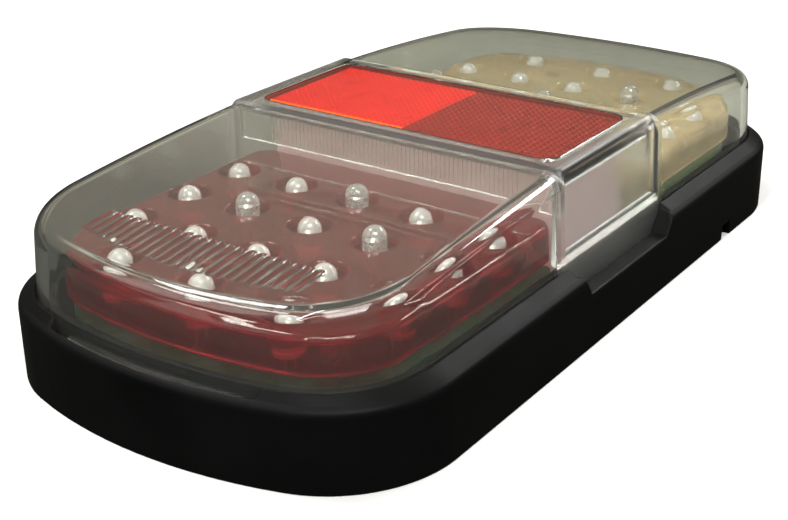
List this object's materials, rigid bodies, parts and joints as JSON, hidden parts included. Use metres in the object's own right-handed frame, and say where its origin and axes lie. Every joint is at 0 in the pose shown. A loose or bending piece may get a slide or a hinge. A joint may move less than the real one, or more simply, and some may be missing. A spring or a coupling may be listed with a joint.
{
  "type": "trailer tail light",
  "caption": "Long round-cornered LED tail light with a black housing, a clear lift-off lens, a red retro-reflector band and red and amber light sections.",
  "frame": {"origin": "centre of the mounting face", "axes": "+X along the lamp from the stop and tail section to the indicator section, +Z out of the mounting face towards the lens"},
  "size_m": [0.2, 0.099, 0.039],
  "materials": {
    "housing_plastic": "fine moulded grain, slightly satin",
    "seal_rubber": "matte",
    "insert_brass": "machined",
    "clear_plastic": "polished clear moulding",
    "reflector_red": "polished face over prisms",
    "reflector_backing": "plain",
    "red_plastic": "polished tinted moulding",
    "amber_plastic": "polished tinted moulding",
    "white_plastic": "satin",
    "screw_steel": "zinc plated",
    "circuit_board": "solder mask",
    "led_epoxy": "clear epoxy",
    "component_black": "moulded",
    "wire_insulation": "smooth"
  },
  "bodies": {
    "root": {"base_housing": "housing_plastic", "mounting_seal": "seal_rubber", "threaded_inserts": "insert_brass", "cable_grommet": "seal_rubber", "lens_seal": "seal_rubber", "stop_tail_tray": "red_plastic", "indicator_tray": "amber_plastic", "centre_carrier": "white_plastic", "carrier_screws": "screw_steel", "stop_tail_board": "circuit_board", "indicator_board": "circuit_board", "board_screws": "screw_steel", "tail_leds": "led_epoxy", "stop_leds": "led_epoxy", "indicator_leds": "led_epoxy", "stop_tail_resistors": "component_black", "indicator_resistors": "component_black", "diodes": "component_black", "terminal_block": "white_plastic", "terminal_screws": "screw_steel", "link_wires": "wire_insulation"},
    "lens": {"outer_lens": "clear_plastic", "reflector": "reflector_red", "reflector_back": "reflector_backing"}
  },
  "joints": [
    {"name": "lens_lift", "type": "slide", "parent": "root", "child": "lens", "axis": [0, 0, 1], "range_m": [0, 0.045]}
  ]
}
